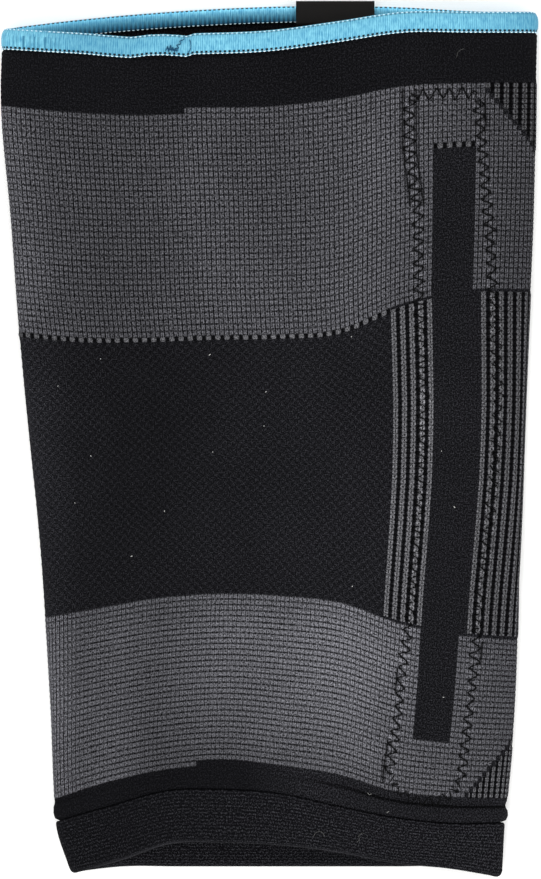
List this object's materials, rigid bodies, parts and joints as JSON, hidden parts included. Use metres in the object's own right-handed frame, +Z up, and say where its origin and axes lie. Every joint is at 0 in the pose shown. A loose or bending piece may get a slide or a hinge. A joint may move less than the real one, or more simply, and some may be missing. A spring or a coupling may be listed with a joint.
{
  "type": "knee compression sleeve",
  "caption": "Knitted knee compression sleeve lying flat, with an elastic thigh binding, a turned calf hem, side stay channels and a blank label.",
  "frame": {"origin": "on the surface that the sleeve lies on, under the middle of its outline", "axes": "+Y from the calf end to the thigh end, +X to the right across the front layer, +Z up out of the front face"},
  "size_m": [0.1772, 0.2868, 0.0241],
  "materials": {
    "knit": "grey and black nylon and elastane rib knit, matt",
    "blue_elastic": "light blue folded elastic braid, soft sheen",
    "black_knit": "black turned knit hem, matt",
    "black_tape": "black woven tape, matt",
    "label_weave": "black woven satin label, blank"
  },
  "bodies": {
    "root": {"knit_sleeve": "knit", "top_binding": "blue_elastic", "bottom_hem": "black_knit", "stay_tape_right": "black_tape", "stay_tape_left": "black_tape", "label_tab": "label_weave"}
  },
  "joints": []
}
